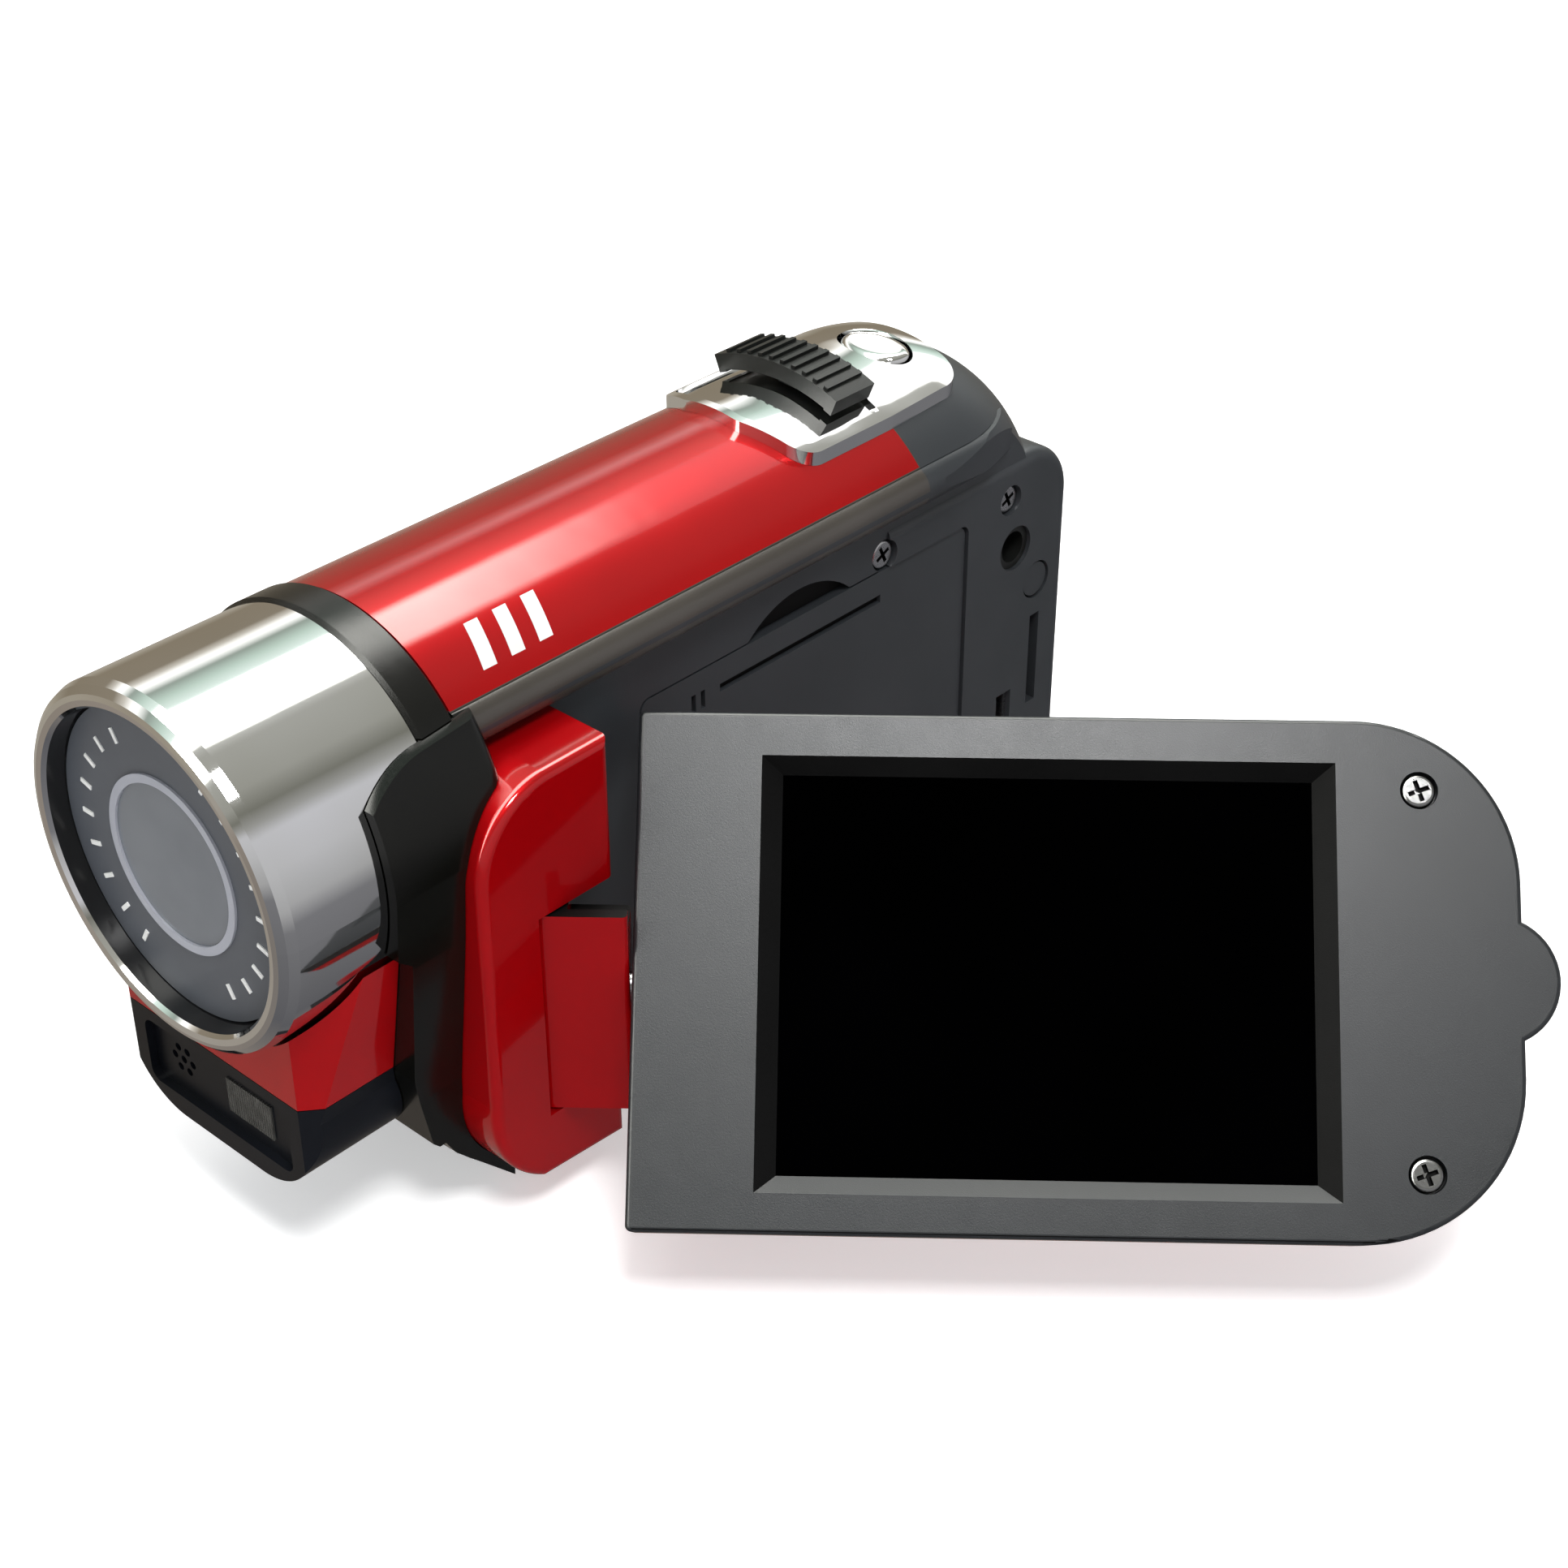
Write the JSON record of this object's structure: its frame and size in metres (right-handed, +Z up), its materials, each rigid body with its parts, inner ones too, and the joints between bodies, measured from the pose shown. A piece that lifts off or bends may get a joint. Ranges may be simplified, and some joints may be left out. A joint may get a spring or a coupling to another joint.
{
  "type": "camcorder",
  "caption": "Palm-sized camcorder with a round lens hood, half-round top cover, top zoom rocker and a side screen on a two-axis hinge.",
  "frame": {"origin": "mouth of the tripod socket, in the plane of the flat base", "axes": "+Z up, -Y the way the lens looks, +X the side that carries the screen"},
  "size_m": [0.1121, 0.1147, 0.0647],
  "materials": {
    "red_gloss": "glossy lacquered plastic",
    "chrome": "mirror-plated plastic",
    "slate": "fine satin moulded plastic",
    "olive_satin": "satin plastic",
    "lens_slate": "smooth satin disc",
    "pale_ring": "pale satin",
    "lens_glass": "coated glass",
    "screen": "black glossy window",
    "black_plastic": "black plastic",
    "board": "green laminate",
    "steel": "bright steel",
    "brass": "turned brass",
    "cell_wrap": "wrapped steel can",
    "lamp_clear": "clear moulded window",
    "white_mark": "printed mark",
    "light_green": "light pipe"
  },
  "bodies": {
    "camera_body": {"av_jack": "black_plastic", "base_screws": "steel", "battery_cells": "cell_wrap", "battery_contacts": "steel", "battery_springs": "steel", "battery_tray": "black_plastic", "card_socket": "black_plastic", "chin_base": "slate", "chin_cover": "red_gloss", "control_plate": "chrome", "hinge_block": "red_gloss", "hinge_pins": "steel", "hood_band": "olive_satin", "image_sensor": "black_plastic", "iris_ring": "black_plastic", "lamp_emitter": "lamp_clear", "lamp_window": "lamp_clear", "left_housing": "slate", "lens_barrel": "black_plastic", "lens_elements": "lens_glass", "lens_hood": "chrome", "lens_plate": "lens_slate", "lens_ring": "pale_ring", "lens_window": "lens_glass", "main_board": "board", "microphone": "black_plastic", "plate_marks": "white_mark", "power_switch": "black_plastic", "rear_board": "board", "rear_housing": "slate", "right_housing": "slate", "sensor_board": "board", "shutter_spring": "steel", "shutter_switch": "black_plastic", "side_screws": "steel", "speaker": "black_plastic", "status_light": "light_green", "top_cover": "red_gloss", "tripod_insert": "brass", "usb_socket": "steel", "zoom_switch": "black_plastic"},
    "battery_door": {"battery_door": "slate"},
    "hinge_knuckle": {"hinge_knuckle": "red_gloss"},
    "swivel_shaft": {"swivel_shaft": "steel"},
    "screen_panel": {"panel_frame": "slate", "panel_shell": "red_gloss", "screen_glass": "screen", "lcd_module": "black_plastic", "lcd_board": "board", "swivel_bracket": "steel", "panel_screws": "steel"},
    "zoom_rocker": {"zoom_rocker": "black_plastic", "zoom_carrier": "black_plastic"},
    "shutter_button": {"shutter_button": "chrome"},
    "power_button": {"power_button": "slate"},
    "record_button": {"record_button": "red_gloss"},
    "menu_button_1": {"menu_button_1": "black_plastic"},
    "menu_button_2": {"menu_button_2": "black_plastic"},
    "menu_button_3": {"menu_button_3": "black_plastic"},
    "menu_button_4": {"menu_button_4": "black_plastic"}
  },
  "joints": [
    {"name": "panel_open", "type": "hinge", "parent": "camera_body", "child": "hinge_knuckle", "pos_m": [0.01915, -0.0332, 0.0252], "axis": [0, 0, -1], "range_deg": [-49.2, 40.8]},
    {"name": "swivel_follow", "type": "hinge", "parent": "hinge_knuckle", "child": "swivel_shaft", "pos_m": [0.01915, -0.0332, 0.0252], "axis": [-0.757, -0.6534, 0], "range_deg": [-44, 36.6]},
    {"name": "panel_swivel", "type": "hinge", "parent": "swivel_shaft", "child": "screen_panel", "pos_m": [0.01915, -0.0332, 0.0252], "axis": [0.757, 0.6534, 0], "range_deg": [-3, 84]},
    {"name": "zoom_rock", "type": "hinge", "parent": "camera_body", "child": "zoom_rocker", "pos_m": [0, 0.0216, 0.043], "axis": [0, 1, 0], "range_deg": [-4.5, 4.5], "stiffness_Nm_per_rad": 0.05},
    {"name": "shutter_press", "type": "slide", "parent": "camera_body", "child": "shutter_button", "axis": [0, 0, -1], "range_m": [0, 0.0007], "stiffness_N_per_m": 400},
    {"name": "power_press", "type": "slide", "parent": "camera_body", "child": "power_button", "axis": [-1, 0, 0], "range_m": [0, 0.0005], "stiffness_N_per_m": 400},
    {"name": "record_press", "type": "slide", "parent": "camera_body", "child": "record_button", "axis": [0, -1, 0], "range_m": [0, 0.0006], "stiffness_N_per_m": 400},
    {"name": "door_slide", "type": "slide", "parent": "camera_body", "child": "battery_door", "axis": [0, 0, -1], "range_m": [0, 0.0012]},
    {"name": "menu_press_1", "type": "slide", "parent": "camera_body", "child": "menu_button_1", "axis": [0, -1, 0], "range_m": [0, 0.0005], "stiffness_N_per_m": 400},
    {"name": "menu_press_2", "type": "slide", "parent": "camera_body", "child": "menu_button_2", "axis": [0, -1, 0], "range_m": [0, 0.0005], "stiffness_N_per_m": 400},
    {"name": "menu_press_3", "type": "slide", "parent": "camera_body", "child": "menu_button_3", "axis": [0, -1, 0], "range_m": [0, 0.0005], "stiffness_N_per_m": 400},
    {"name": "menu_press_4", "type": "slide", "parent": "camera_body", "child": "menu_button_4", "axis": [0, -1, 0], "range_m": [0, 0.0005], "stiffness_N_per_m": 400}
  ],
  "couplings": [
    {"joint": "swivel_follow", "follows": "panel_open", "ratio": 0.89024}
  ]
}
